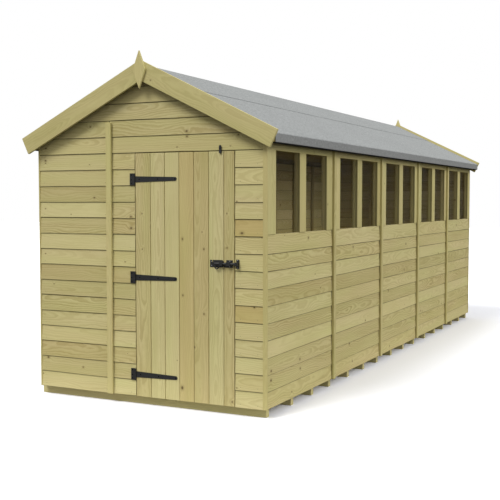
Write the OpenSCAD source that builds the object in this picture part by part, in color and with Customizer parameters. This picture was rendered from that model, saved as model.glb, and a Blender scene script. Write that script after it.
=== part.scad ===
// Timber garden shed with an apex roof, overlap cladding and a row of fixed windows.
// Millimetres. X runs across the gables, Y along the ridge, Z up from the ground.
// The door is in the gable at -Y, the windows are in the wall at +X.

/* [Overall] */
// Number of side panels along each long wall
bay_count = 5; // [2:1:6]
// Length of one side panel
bay_length = 1200; // [900:10:1500]
// Width over the gable cladding
shed_width = 1924; // [1750:2:2600]
// Height of the felt at the ridge
ridge_height = 2455; // [2400:5:3000]
// Roof pitch in degrees
roof_pitch = 26.1; // [20:0.1:30]

/* [Floor] */
// Height of the floor joists
joist_height = 65; // [40:1:100]
// Width of the floor joists
joist_width = 45; // [30:1:80]
// Place of the second joist of each side panel, in hundredths of the panel
joist_second = 36; // [30:1:40]
// Place of the third joist of each side panel, in hundredths of the panel
joist_third = 69; // [60:1:74]
// Set-back of the front joist from the front cladding
joist_setback = 57; // [40:1:120]
// Set-back of the back joist from the back cladding
joist_back_setback = 4; // [0:1:60]
// Set-back of the joists' ends from the window side cladding
joist_end_setback = 28; // [18:1:60]
// How far the joists run out past the blind side cladding
joist_run_out = 26; // [0:1:40]
// Thickness of the floor boards
floor_thickness = 15; // [10:1:25]

/* [Walls] */
// Depth taken up by the overlap cladding
cladding_depth = 18; // [12:1:25]
// Height of each cladding board that shows
board_exposure = 118; // [90:1:140]
// Depth of the wall framing, through the wall
stud_depth = 28; // [20:1:60]
// Width of the wall framing, along the wall
stud_width = 45; // [30:1:60]
// How far the joints of the side panels sit behind an even division of the wall
joint_shift = 40; // [0:1:60]
// Gap between neighbouring wall panels
panel_gap = 4; // [2:1:8]
// Width of the cover strips over the panel joints
strip_width = 45; // [30:1:60]
// Thickness of the cover strips
strip_thickness = 18; // [10:1:25]
// Distance from the left corner to the panel joint in a gable
gable_joint = 652; // [400:1:700]
// Height of the gable cover strips above the cladding foot
gable_strip_height = 1992; // [1700:1:2050]
// Width of the corner trims on the window side
corner_trim_width = 28; // [20:1:45]
// Width of the corner trims on the blind side
blind_trim_width = 10; // [8:1:20]
// How far the corner trims stand proud of the cladding
corner_trim_proud = 2; // [1:1:6]

/* [Windows] */
// Cladding boards below the windows
sill_boards = 10; // [8:1:11]
// Overlap of the top board above its line
sill_lap = 15; // [5:1:30]
// Height of each window pane
pane_height = 575; // [300:5:620]
// Width of each window pane
pane_width = 416; // [300:1:420]
// Width of the mullion between the two panes of a panel
mullion_width = 115; // [95:1:130]
// Stile before the first pane of a panel
first_stile = 150; // [130:1:160]
// Stile before the first pane of the last panel
last_stile = 110; // [95:1:130]
// Thickness of the glazing sheet
glass_thickness = 3; // [2:1:6]
// Depth from the facing boards' back to the glazing sheet
glass_setback = 12; // [2:1:14]

/* [Door] */
// Distance from the gable's centre to the hinge edge of the door
door_hinge_offset = 87; // [60:1:120]
// Width of the door
door_width = 803; // [660:1:840]
// Cladding boards up to the head of the door
door_head_boards = 15; // [13:1:15]
// Gap round the door
door_gap = 6; // [5:1:10]
// Thickness of the door boards
door_thickness = 12; // [10:1:14]
// Width of the first door board, at the hinges
first_board = 126; // [90:1:130]
// Cover width of the other door boards
door_board = 119; // [90:1:130]
// Gap between door boards
door_board_gap = 1; // [1:1:3]
// Height of the door ledges
ledge_height = 95; // [70:1:120]
// Thickness of the door ledges and braces
ledge_thickness = 20; // [15:1:22]
// How far the door laps over the frame at each side
door_rebate = 10; // [6:1:15]

/* [Ironmongery] */
// Height of the lowest hinge above the foot of the door
hinge_foot = 161; // [120:1:220]
// Depth of the highest hinge below the top of the door
hinge_head = 185; // [120:1:260]
// Length of the hinge straps from the hinge pin
strap_length = 352; // [200:1:450]
// Height of a hinge strap at the pin
strap_root = 45; // [30:1:54]
// Height of a hinge strap at its round end
strap_tip = 27; // [18:1:36]
// Thickness of the hinge leaves
leaf_thickness = 3; // [2:0.5:4]
// Height of the hinge plates
hinge_plate_height = 86; // [70:1:110]
// Width of the hinge plates
hinge_plate_width = 36; // [25:1:45]
// Radius of the hinge barrels
barrel_radius = 5; // [4:0.5:7]
// Radius of the hinge pins
pin_radius = 2.5; // [1.5:0.5:3]
// Height of the bolt above the foot of the door
bolt_height = 991; // [800:1:1200]
// Diameter of the bolt rod
bolt_diameter = 18; // [12:1:20]
// Radial clearance round the bolt rod
bolt_clearance = 0.6; // [0.3:0.1:1]
// Length of the bolt's base plate
bolt_case_length = 108; // [90:1:140]
// Height of the bolt's base plate
bolt_case_height = 50; // [40:1:70]
// Length of the turn button
button_length = 57; // [40:1:80]
// Width of the turn button
button_width = 18; // [12:1:24]
// Distance of the turn button from the door's latch edge
button_inset = 104; // [60:1:200]
// Height of the turn button's screw above the cladding board over the door
button_rise = 20; // [16:1:40]
// Thickness of the turn button
button_thickness = 4; // [3:0.5:5]

/* [Roof] */
// Thickness of the roof boards
roof_board = 12; // [9:1:20]
// Thickness of the roofing felt
felt_thickness = 3; // [2:0.5:5]
// Eave overhang beyond the side cladding
eave_overhang = 83; // [60:1:140]
// Roof overhang beyond the gable cladding, without the bargeboards
gable_overhang = 42; // [25:1:80]
// Height of the felt folded down at the eaves
felt_fold = 63; // [45:1:80]
// Width of the felt ridge cap on each slope
ridge_cap = 445; // [250:5:500]
// Thickness of the eave fascias
fascia_thickness = 22; // [15:1:30]
// Width of the ridge beam
ridge_beam_width = 40; // [30:1:60]
// Height of the ridge beam
ridge_beam_height = 70; // [50:1:120]
// Depth of the rafters
rafter_depth = 45; // [40:1:70]
// Thickness of the rafters
rafter_thickness = 28; // [20:1:45]
// Width of the bargeboards
barge_width = 130; // [90:1:160]
// Thickness of the bargeboards
barge_thickness = 20; // [15:1:25]
// Height of the bargeboards' top edge above the felt at the ridge
barge_rise = 29; // [10:1:50]
// Bargeboard length beyond the eave
barge_run_on = 24; // [10:1:60]
// Height of the diamond finials
finial_height = 270; // [200:2:320]
// Width of the diamond finials
finial_width = 104; // [70:2:120]
// Thickness of the diamond finials
finial_thickness = 16; // [12:1:22]
// Height of the finials' tip above the bargeboards
finial_tip = 65; // [30:1:90]

/* [Hidden] */

$fn = 48;
wood = "#b8ac78";
sawn = "#a89c68";
felt = "#a8acab";
iron = "#2b2c2e";
clear = "#c8d8dc";

// Fits and clearances of the moving pieces
barrel_clearance = 1;
leaf_clearance = 0.5;
knuckle_clearance = 0.5;
pin_clearance = 0.3;
latch_clearance = 2;
washer_clearance = 0.5;
// Set-back of the door's face behind the cladding's face
door_set_in = 1;
// Metal round the bore of the bolt's saddles
saddle_wall = 4;

half_w = shed_width / 2;
half_l = bay_count * bay_length / 2;
frame_x = half_w - cladding_depth;
frame_y = half_l - cladding_depth;
inner_x = frame_x - stud_depth;
inner_y = frame_y - stud_depth;
foot_z = joist_height;
floor_z = foot_z + floor_thickness;
plate_top_z = floor_z + stud_width;
head_z = foot_z + door_head_boards * board_exposure;

slope = tan(roof_pitch);
plumb = 1 / cos(roof_pitch);
// Clearance between layers that lie on each other along a slope
bed = 0.05;
// Heights of the layers at the ridge: felt cap, felt, boards, and what is under the boards
cap_z = ridge_height;
felt_z = cap_z - (felt_thickness + bed) * plumb;
board_z = felt_z - (felt_thickness + bed) * plumb;
under_z = board_z - (roof_board + bed) * plumb;
eave_x = half_w + eave_overhang;
roof_y = half_l + gable_overhang;
wall_top_z = under_z - frame_x * slope;
touch = 0.3;

sill_z = foot_z + sill_boards * board_exposure + sill_lap;
pane_top_z = sill_z + pane_height;

// Place of a side panel's start along Y
function bay_y(i) = -half_l + i * bay_length + (i == 0 ? 0 : joint_shift);
// Offset of the first pane in a panel: the last panel is the short one
function stile(i) = i == bay_count - 1 ? last_stile : first_stile;
function pane_y(i, k) = bay_y(i) + stile(i) + k * (pane_width + mullion_width);
// Panels stop short of each other and of the corners
function bay_start(i) = i == 0 ? -frame_y : bay_y(i) + panel_gap / 2;
function bay_end(i) = i == bay_count - 1 ? frame_y : bay_y(i + 1) - panel_gap / 2;
function frame_start(i) = i == 0 ? -inner_y : bay_y(i) + panel_gap / 2;
function frame_end(i) = i == bay_count - 1 ? inner_y : bay_y(i + 1) - panel_gap / 2;

door_x0 = -door_hinge_offset;
door_x1 = door_x0 + door_width;
door_top_z = head_z - door_gap;
door_face_y = -half_l + door_set_in;
door_back_y = door_face_y + door_thickness;
opening_x0 = door_x0 - door_gap;
opening_x1 = door_x1 + door_gap;
hinge_x = door_x0 - barrel_radius;
hinge_y = -half_l - barrel_radius - barrel_clearance;
bolt_z = foot_z + bolt_height;
bolt_radius = bolt_diameter / 2;
plate_front_y = door_face_y - leaf_thickness;
bolt_y = plate_front_y - bolt_radius - saddle_wall;
joint_x = -half_w + gable_joint;
button_x = door_x1 - button_inset;
button_z = head_z + button_rise;

// Box between two corners
module block(low, high) {
    translate(low) cube(high - low);
}

// Outline in the XZ plane pulled along Y from y0 to y1
module along_y(y0, y1) {
    translate([0, y1, 0]) rotate([90, 0, 0]) linear_extrude(height = y1 - y0) children();
}

// Everything below a roof line that crosses the centre at height top
module below_roof(top, half) {
    polygon([[-half, 0], [half, 0], [half, top - half * slope], [0, top], [-half, top - half * slope]]);
}

// One layer of the right-hand roof slope
module slope_layer(x0, x1, top, thickness) {
    drop = thickness * plumb;
    polygon([
        [x0, top - x0 * slope], [x1, top - x1 * slope],
        [x1, top - drop - x1 * slope], [x0, top - drop - x0 * slope]]);
}

// Repeat for the left-hand side
module both_sides() {
    children();
    mirror([1, 0, 0]) children();
}

// Repeat for the back
module both_ends() {
    children();
    mirror([0, 1, 0]) children();
}

// ---- Floor ----
// Middle of the joist under the start of a side panel, or under the back wall
function joist_y(i) = i == 0 ? -half_l + joist_setback + joist_width / 2
    : i == bay_count ? half_l - joist_back_setback - joist_width / 2 : bay_y(i);

module joist(y) {
    block([-half_w - joist_run_out, y - joist_width / 2, 0],
        [half_w - joist_end_setback, y + joist_width / 2, joist_height]);
}

module floor_joists() {
    color(sawn) {
        for (i = [0 : bay_count - 1], share = [0, joist_second / 100, joist_third / 100])
            joist(joist_y(i) + share * (joist_y(i + 1) - joist_y(i)));
        joist(joist_y(bay_count));
    }
}

module floor_boards() {
    color(sawn) block([-frame_x, -frame_y, foot_z], [frame_x, frame_y, floor_z]);
}

// ---- Gable walls ----
gable_left = -half_w + blind_trim_width;
gable_right = half_w - corner_trim_width;

module front_cladding_hinge_side() {
    color(wood) block([gable_left, -half_l, foot_z], [opening_x0, -frame_y, head_z]);
}

module front_cladding_latch_side() {
    color(wood) block([opening_x1, -half_l, foot_z], [gable_right, -frame_y, head_z]);
}

// Cladding above the height of the door, cut to the roof
module gable_cladding_panel(y0, y1) {
    along_y(y0, y1) intersection() {
        below_roof(under_z, half_w);
        translate([gable_left, head_z]) square([gable_right - gable_left, under_z]);
    }
}

module front_gable_cladding() {
    color(wood) gable_cladding_panel(-half_l, -frame_y);
}

module back_cladding() {
    color(wood) {
        block([gable_left, frame_y, foot_z], [joint_x - panel_gap / 2, half_l, head_z]);
        block([joint_x + panel_gap / 2, frame_y, foot_z], [gable_right, half_l, head_z]);
    }
}

module back_gable_cladding() {
    color(wood) gable_cladding_panel(frame_y, half_l);
}

rail_z = head_z - door_gap - door_rebate;
rail_top_z = rail_z + stud_width;
rafter_under_z = under_z - (rafter_depth + bed) * plumb;

// Upright between the floor and the head rail, then on up to the sloping rail
module gable_stud(x0, x1, y0, z0) {
    block([x0, y0, z0], [x1, y0 + stud_depth, rail_z]);
    along_y(y0, y0 + stud_depth) intersection() {
        below_roof(rafter_under_z, frame_x);
        translate([x0, rail_top_z]) square([x1 - x0, under_z]);
    }
}

clear_x0 = door_x0 + door_rebate;
clear_x1 = door_x1 - door_rebate;

module front_wall_studs() {
    y0 = -frame_y;
    color(sawn) {
        gable_stud(-frame_x, -frame_x + stud_width, y0, plate_top_z);
        gable_stud(joint_x - panel_gap / 2 - stud_width, joint_x - panel_gap / 2, y0, plate_top_z);
        gable_stud(joint_x + panel_gap / 2, joint_x + panel_gap / 2 + stud_width, y0, plate_top_z);
        gable_stud(clear_x0 - stud_width, clear_x0, y0, floor_z);
        gable_stud(clear_x1, clear_x1 + stud_width, y0, floor_z);
        gable_stud(frame_x - stud_width, frame_x, y0, plate_top_z);
    }
}

// Sloping rails under the roof boards at a gable
module sloping_rails(y0) {
    both_sides() along_y(y0, y0 + stud_depth) slope_layer(touch, frame_x, under_z, rafter_depth);
}

module front_wall_rails() {
    y0 = -frame_y;
    color(sawn) {
        block([-frame_x, y0, floor_z], [clear_x0 - stud_width, y0 + stud_depth, plate_top_z]);
        block([clear_x1 + stud_width, y0, floor_z], [frame_x, y0 + stud_depth, plate_top_z]);
        block([-frame_x, y0, rail_z], [frame_x, y0 + stud_depth, rail_top_z]);
        sloping_rails(y0);
    }
}

module back_wall_studs() {
    y0 = inner_y;
    middle = (joint_x + frame_x) / 2;
    color(sawn) {
        gable_stud(-frame_x, -frame_x + stud_width, y0, plate_top_z);
        gable_stud(joint_x - panel_gap / 2 - stud_width, joint_x - panel_gap / 2, y0, plate_top_z);
        gable_stud(joint_x + panel_gap / 2, joint_x + panel_gap / 2 + stud_width, y0, plate_top_z);
        gable_stud(middle - stud_width / 2, middle + stud_width / 2, y0, plate_top_z);
        gable_stud(frame_x - stud_width, frame_x, y0, plate_top_z);
    }
}

module back_wall_rails() {
    y0 = inner_y;
    color(sawn) {
        block([-frame_x, y0, floor_z], [frame_x, y0 + stud_depth, plate_top_z]);
        block([-frame_x, y0, rail_z], [frame_x, y0 + stud_depth, rail_top_z]);
        sloping_rails(y0);
    }
}

// Strip over the joint between the two panels of a gable
module gable_strip() {
    color(wood) block(
        [joint_x - strip_width / 2, -half_l - strip_thickness, foot_z],
        [joint_x + strip_width / 2, -half_l, foot_z + gable_strip_height]);
}

module front_cover_strip() {
    gable_strip();
}

module back_cover_strip() {
    mirror([0, 1, 0]) gable_strip();
}

// ---- Blind side wall ----
module blind_side_cladding() {
    color(wood) for (i = [0 : bay_count - 1])
        block([-half_w, bay_start(i), foot_z], [-frame_x, bay_end(i), under_z - half_w * slope]);
}

module blind_side_studs() {
    color(sawn) for (i = [0 : bay_count - 1]) {
        middle = (frame_start(i) + frame_end(i)) / 2;
        for (y = [frame_start(i), middle - stud_width / 2, frame_end(i) - stud_width])
            block([-frame_x, y, plate_top_z], [-inner_x, y + stud_width, wall_top_z - stud_width]);
    }
}

module blind_side_rails() {
    color(sawn) for (i = [0 : bay_count - 1]) {
        block([-frame_x, frame_start(i), floor_z], [-inner_x, frame_end(i), plate_top_z]);
        block([-frame_x, frame_start(i), wall_top_z - stud_width], [-inner_x, frame_end(i), wall_top_z]);
    }
}

// Strips over the joints between side panels, up to the roof boards
module side_strips() {
    top = under_z - (half_w + strip_thickness) * slope;
    color(wood) for (i = [1 : bay_count - 1])
        block([half_w, bay_y(i) - strip_width / 2, foot_z],
            [half_w + strip_thickness, bay_y(i) + strip_width / 2, top]);
}

module blind_side_cover_strips() {
    mirror([1, 0, 0]) side_strips();
}

// ---- Window side wall ----
module window_side_cladding() {
    color(wood) for (i = [0 : bay_count - 1])
        block([frame_x, bay_start(i), foot_z], [half_w, bay_end(i), sill_z]);
}

module window_side_studs() {
    color(sawn) for (i = [0 : bay_count - 1]) {
        middle = (frame_start(i) + frame_end(i)) / 2;
        for (y = [frame_start(i), middle - stud_width / 2, frame_end(i) - stud_width])
            block([inner_x, y, plate_top_z], [frame_x, y + stud_width, sill_z - stud_width]);
        for (k = [0, 1]) {
            block([inner_x, pane_y(i, k) - stud_width, sill_z], [frame_x, pane_y(i, k), pane_top_z]);
            block([inner_x, pane_y(i, k) + pane_width, sill_z],
                [frame_x, pane_y(i, k) + pane_width + stud_width, pane_top_z]);
        }
    }
}

module window_side_rails() {
    color(sawn) for (i = [0 : bay_count - 1]) {
        block([inner_x, frame_start(i), floor_z], [frame_x, frame_end(i), plate_top_z]);
        block([inner_x, frame_start(i), sill_z - stud_width], [frame_x, frame_end(i), sill_z]);
        block([inner_x, frame_start(i), pane_top_z], [frame_x, frame_end(i), wall_top_z]);
    }
}

module window_side_cover_strips() {
    side_strips();
}

module window_heads() {
    color(wood) for (i = [0 : bay_count - 1])
        block([frame_x, bay_start(i), pane_top_z], [half_w, bay_end(i), under_z - half_w * slope]);
}

module window_stiles() {
    color(wood) for (i = [0 : bay_count - 1]) {
        block([frame_x, bay_start(i), sill_z], [half_w, pane_y(i, 0), pane_top_z]);
        block([frame_x, pane_y(i, 1) + pane_width, sill_z], [half_w, bay_end(i), pane_top_z]);
    }
}

module window_mullions() {
    color(wood) for (i = [0 : bay_count - 1])
        block([frame_x, pane_y(i, 0) + pane_width, sill_z], [half_w, pane_y(i, 1), pane_top_z]);
}

module window_panes() {
    face = frame_x - glass_setback;
    color(clear) for (i = [0 : bay_count - 1], k = [0, 1])
        block([face - glass_thickness, pane_y(i, k), sill_z],
            [face, pane_y(i, k) + pane_width, pane_top_z]);
}

// ---- Corner trims ----
module corner_trims() {
    out = corner_trim_proud;
    window_top = under_z - (half_w + out) * slope;
    color(wood) both_ends() {
        block([gable_right, -half_l - out, foot_z], [half_w + out, -frame_y, window_top]);
        block([-half_w - out, -half_l - out, foot_z], [gable_left, -frame_y, window_top]);
    }
}

// ---- Roof ----
module ridge_beam() {
    top = under_z - ridge_beam_width / 2 * slope;
    color(sawn) block([-ridge_beam_width / 2, -inner_y, top - ridge_beam_height],
        [ridge_beam_width / 2, inner_y, top]);
}

module roof_rafters() {
    color(sawn) both_sides() for (i = [1 : bay_count - 1])
        along_y(bay_y(i) - rafter_thickness / 2, bay_y(i) + rafter_thickness / 2)
            slope_layer(ridge_beam_width / 2, inner_x, under_z, rafter_depth);
}

module roof_boards() {
    color(sawn) both_sides() along_y(-roof_y, roof_y)
        slope_layer(touch, eave_x - felt_thickness, board_z, roof_board);
}

module eave_fascias() {
    out = eave_x - felt_thickness;
    foot = cap_z - eave_x * slope - felt_fold;
    color(sawn) both_sides() along_y(-roof_y, roof_y) polygon([
        [out - fascia_thickness, foot], [out, foot],
        [out, under_z - out * slope], [out - fascia_thickness, under_z - (out - fascia_thickness) * slope]]);
}

module roof_felt() {
    color(felt) both_sides() along_y(-roof_y, roof_y)
        slope_layer(touch, eave_x, felt_z, felt_thickness);
}

module eave_felt_folds() {
    top = board_z - eave_x * slope;
    foot = cap_z - eave_x * slope - felt_fold;
    color(felt) both_sides() block([eave_x - felt_thickness, -roof_y, foot], [eave_x, roof_y, top]);
}

module ridge_felt_cap() {
    reach = ridge_cap * cos(roof_pitch);
    drop = felt_thickness * plumb;
    color(felt) along_y(-roof_y, roof_y) polygon([
        [-reach, cap_z - reach * slope], [0, cap_z], [reach, cap_z - reach * slope],
        [reach, cap_z - drop - reach * slope], [0, cap_z - drop], [-reach, cap_z - drop - reach * slope]]);
}

// Bargeboard with a square-cut foot and a plumb cut at the apex
module barge_outline() {
    top = cap_z + barge_rise;
    end = eave_x + barge_run_on;
    polygon([
        [touch, top - touch * slope], [end, top - end * slope],
        [end - barge_width * sin(roof_pitch), top - end * slope - barge_width * cos(roof_pitch)],
        [touch, top - barge_width * plumb - touch * slope]]);
}

module front_bargeboards() {
    color(wood) both_sides() along_y(-roof_y - barge_thickness, -roof_y) barge_outline();
}

module back_bargeboards() {
    color(wood) both_sides() along_y(roof_y, roof_y + barge_thickness) barge_outline();
}

module finial() {
    tip = cap_z + barge_rise + finial_tip;
    front = -roof_y - barge_thickness;
    color(wood) along_y(front - finial_thickness, front) polygon([
        [0, tip], [finial_width / 2, tip - finial_height / 2],
        [0, tip - finial_height], [-finial_width / 2, tip - finial_height / 2]]);
}

module front_finial() {
    finial();
}

module back_finial() {
    mirror([0, 1, 0]) finial();
}

// ---- Door ----
// Left edge of a door board, counted from the hinges
function board_x(i) = i == 0 ? door_x0 : door_x0 + first_board + (i - 1) * door_board;
board_count = 1 + ceil((door_width - first_board) / door_board);

module door_boards() {
    color(wood) for (i = [0 : board_count - 1])
        block([board_x(i) + (i == 0 ? 0 : door_board_gap), door_face_y, foot_z],
            [min(board_x(i + 1), door_x1), door_back_y, door_top_z]);
}

// The middle hinge is halfway between the other two
hinge_spacing = (door_top_z - hinge_head - foot_z - hinge_foot) / 2;
function hinge_z(i) = foot_z + hinge_foot + i * hinge_spacing;
ledge_x0 = clear_x0 + door_gap;
ledge_x1 = clear_x1 - door_gap - latch_clearance;

module door_ledges() {
    color(sawn) for (i = [0 : 2])
        block([ledge_x0, door_back_y, hinge_z(i) - ledge_height / 2],
            [ledge_x1, door_back_y + ledge_thickness, hinge_z(i) + ledge_height / 2]);
}

// Diagonal braces rising from the hinge side between the ledges
module door_braces() {
    color(sawn) for (i = [0, 1]) {
        low = hinge_z(i) + ledge_height / 2;
        high = hinge_z(i + 1) - ledge_height / 2;
        along_y(door_back_y, door_back_y + ledge_thickness) polygon([
            [ledge_x0, low], [ledge_x0 + ledge_height, low],
            [ledge_x1, high], [ledge_x1 - ledge_height, high]]);
    }
}

// Tapered strap with a round end, and the middle knuckle with its bore
module hinge_straps() {
    knuckle = strap_root - 2 * knuckle_clearance;
    end_x = hinge_x + strap_length - strap_tip / 2;
    color(iron) for (i = [0 : 2]) translate([0, 0, hinge_z(i)]) difference() {
        union() {
            along_y(plate_front_y, door_face_y) {
                polygon([
                    [hinge_x, -knuckle / 2], [end_x, -strap_tip / 2],
                    [end_x, strap_tip / 2], [hinge_x, knuckle / 2]]);
                translate([end_x, 0]) circle(d = strap_tip);
            }
            translate([hinge_x, hinge_y, -knuckle / 2]) cylinder(r = barrel_radius, h = knuckle);
        }
        translate([hinge_x, hinge_y, -knuckle]) cylinder(r = pin_radius + pin_clearance, h = 2 * knuckle);
    }
}

// Plates on the frame with the outer knuckles and the pin
module hinge_plates() {
    outer = (hinge_plate_height - strap_root) / 2;
    x1 = hinge_x - barrel_radius - leaf_clearance;
    x0 = x1 + 2 * leaf_clearance - hinge_plate_width;
    color(iron) for (i = [0 : 2]) translate([0, 0, hinge_z(i)]) {
        block([x0, -half_l - leaf_thickness, -hinge_plate_height / 2],
            [x1, -half_l, hinge_plate_height / 2]);
        for (z = [-hinge_plate_height / 2, strap_root / 2]) {
            block([x0, -half_l - leaf_thickness, z], [hinge_x, -half_l, z + outer]);
            translate([hinge_x, hinge_y, z]) cylinder(r = barrel_radius, h = outer);
        }
        translate([hinge_x, hinge_y, -hinge_plate_height / 2])
            cylinder(r = pin_radius, h = hinge_plate_height);
    }
}

// ---- Bolt ----
case_inset = 188;
case_x0 = door_x1 - case_inset;
case_saddle = 24;
guide_inset = 60;
guide_x0 = door_x1 - guide_inset;
guide_length = 49;
guide_height = 52;
guide_lug = 8;
keep_inset = 11;
keep_x0 = opening_x1 + keep_inset;
keep_length = 22;
keep_height = 64;
// The rod stops just short of the keep's far side
rod_short = 2;
// Ring hanging from an eye under the rod
ring_inset = 60;
ring_x = case_x0 + ring_inset;
ring_drop = 20;
ring_radius = 15;
ring_bar = 4;
// Slot between the plate's screw lug and its body, and the cut-off corners by the saddle
notch_x0 = case_x0 + 17;
notch_x1 = case_x0 + 23;
notch_depth = 15;
case_chamfer = 10;

// Plate with a saddle bored for the rod; children give the outline of the plate about the rod's height
module rod_saddle(saddle_x0, saddle_length, base_y) {
    half = bolt_radius + saddle_wall;
    difference() {
        union() {
            translate([0, 0, bolt_z]) along_y(base_y - leaf_thickness, base_y) children();
            block([saddle_x0, bolt_y - half, bolt_z - half],
                [saddle_x0 + saddle_length, base_y - leaf_thickness, bolt_z + half]);
        }
        translate([saddle_x0 - saddle_length, bolt_y, bolt_z]) rotate([0, 90, 0])
            cylinder(r = bolt_radius + bolt_clearance, h = 3 * saddle_length);
    }
}

module plate_outline(x0, length, height) {
    translate([x0, -height / 2]) square([length, height]);
}

module bolt_case() {
    case_x1 = case_x0 + bolt_case_length;
    half = bolt_case_height / 2;
    color(iron) {
        rod_saddle(case_x1 - case_saddle, case_saddle, door_face_y)
            polygon([
                [case_x0, -half], [case_x1 - case_chamfer, -half], [case_x1, case_chamfer - half],
                [case_x1, half - case_chamfer], [case_x1 - case_chamfer, half], [notch_x1, half],
                [notch_x1, half - notch_depth], [notch_x0, half - notch_depth], [notch_x0, half],
                [case_x0, half]]);
        rod_saddle(guide_x0 + guide_lug, guide_length - 2 * guide_lug, door_face_y)
            plate_outline(guide_x0, guide_length, guide_height);
    }
}

// Rod with the ring it is drawn by
module bolt_rod() {
    start = ring_x - ring_radius;
    tip = keep_x0 + keep_length - rod_short;
    eye = bolt_z - ring_drop + ring_radius;
    color(iron) union() {
        translate([start, bolt_y, bolt_z]) rotate([0, 90, 0]) cylinder(d = bolt_diameter, h = tip - start);
        block([ring_x - ring_bar, bolt_y - ring_bar, eye], [ring_x + ring_bar, bolt_y + ring_bar, bolt_z]);
        translate([ring_x, bolt_y, bolt_z - ring_drop]) rotate([90, 0, 0])
            rotate_extrude() translate([ring_radius, 0]) circle(r = ring_bar);
    }
}

module bolt_keep() {
    color(iron) rod_saddle(keep_x0, keep_length, -half_l)
        plate_outline(keep_x0, keep_length, keep_height);
}

// ---- Turn button ----
button_pivot_up = 12;
button_hole = 3.3;
spacer_radius = 7;
spacer_depth = 4.5;
screw_radius = 3;
screw_head_radius = 6;
screw_head_depth = 2.5;
button_back_y = -half_l - spacer_depth - washer_clearance;
button_front_y = button_back_y - button_thickness;

module turn_button() {
    end = (button_length - button_width) / 2;
    color(iron) translate([button_x, 0, button_z]) difference() {
        along_y(button_front_y, button_back_y) translate([0, -button_pivot_up]) {
            square([button_width, 2 * end], center = true);
            translate([0, -end]) circle(d = button_width);
            translate([0, end]) circle(d = button_width);
        }
        along_y(button_front_y - button_thickness, button_back_y + button_thickness) circle(r = button_hole);
    }
}

// Screw and spacer that the button turns on
module turn_button_pivot() {
    head_back = button_front_y - washer_clearance;
    color(iron) translate([button_x, 0, button_z]) {
        along_y(-half_l - spacer_depth, -half_l) circle(r = spacer_radius);
        along_y(head_back - screw_head_depth, -half_l) circle(r = screw_radius);
        along_y(head_back - screw_head_depth, head_back) circle(r = screw_head_radius);
    }
}

floor_joists();
floor_boards();
front_cladding_hinge_side();
front_cladding_latch_side();
front_gable_cladding();
front_wall_studs();
front_wall_rails();
front_cover_strip();
back_cladding();
back_gable_cladding();
back_wall_studs();
back_wall_rails();
back_cover_strip();
blind_side_cladding();
blind_side_studs();
blind_side_rails();
blind_side_cover_strips();
window_side_cladding();
window_side_studs();
window_side_rails();
window_side_cover_strips();
window_heads();
window_stiles();
window_mullions();
window_panes();
corner_trims();
ridge_beam();
roof_rafters();
roof_boards();
eave_fascias();
roof_felt();
eave_felt_folds();
ridge_felt_cap();
front_bargeboards();
back_bargeboards();
front_finial();
back_finial();
door_boards();
door_ledges();
door_braces();
hinge_straps();
hinge_plates();
bolt_case();
bolt_rod();
bolt_keep();
turn_button();
turn_button_pivot();
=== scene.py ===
"""Looks of the wooden garden shed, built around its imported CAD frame. Metres, in the row frame."""
import math
import random

import bmesh
import bpy
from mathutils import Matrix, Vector, noise
from mathutils.bvhtree import BVHTree


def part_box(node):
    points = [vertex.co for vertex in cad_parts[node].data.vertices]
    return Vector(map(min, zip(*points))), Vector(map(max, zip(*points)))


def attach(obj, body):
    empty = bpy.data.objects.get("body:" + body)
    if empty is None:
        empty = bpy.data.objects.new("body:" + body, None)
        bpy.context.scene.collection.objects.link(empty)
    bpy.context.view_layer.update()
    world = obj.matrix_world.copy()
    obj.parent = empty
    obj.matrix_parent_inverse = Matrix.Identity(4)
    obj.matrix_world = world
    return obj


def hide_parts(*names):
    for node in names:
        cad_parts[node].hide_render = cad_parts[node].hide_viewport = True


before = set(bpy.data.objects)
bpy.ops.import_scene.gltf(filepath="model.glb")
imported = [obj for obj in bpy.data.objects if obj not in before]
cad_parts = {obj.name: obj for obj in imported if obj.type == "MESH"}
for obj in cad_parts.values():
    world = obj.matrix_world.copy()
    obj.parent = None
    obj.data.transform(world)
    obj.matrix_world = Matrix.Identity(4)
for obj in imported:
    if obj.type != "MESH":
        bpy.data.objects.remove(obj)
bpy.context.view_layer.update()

# ---------------------------------------------------------------- sizes
# Rules that the CAD source shares: board exposure, laps and roof pitch.
EXPOSURE = 0.118
LAP = 0.015
PITCH = math.radians(26.1)
SLOPE = math.tan(PITCH)
BAYS = 5


def low(node):
    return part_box(node)[0]


def high(node):
    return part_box(node)[1]


FOOT = low("front_cladding_hinge_side").z
HEAD = high("front_cladding_hinge_side").z
HALF_L = -low("front_cladding_hinge_side").y
FRAME_Y = -high("front_cladding_hinge_side").y
CLAD = HALF_L - FRAME_Y
LEFT = low("front_cladding_hinge_side").x
RIGHT = high("front_cladding_latch_side").x
OPEN_L = high("front_cladding_hinge_side").x
OPEN_R = low("front_cladding_latch_side").x
HALF_W = high("window_side_cladding").x
FRAME_X = low("window_side_cladding").x
SILL = high("window_side_cladding").z
JOINT = (low("front_cover_strip").x + high("front_cover_strip").x) / 2
SIDE_TOP = high("blind_side_cladding").z
APEX = high("front_gable_cladding").z
BAY = 2 * HALF_L / BAYS
HALF_GAP = 0.004 / 2
# Hair-fine room between two surfaces that would otherwise lie in one plane
CLEAR = 0.0003
# Length of log that each board has to itself in the grain's coordinates
LOG = 8.0
STRIP_WIDTH = high("front_cover_strip").x - low("front_cover_strip").x
# The side panels' joints lie a little behind an even division of the wall
FIRST_JOINT = low("window_side_cover_strips").y + STRIP_WIDTH / 2


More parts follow.
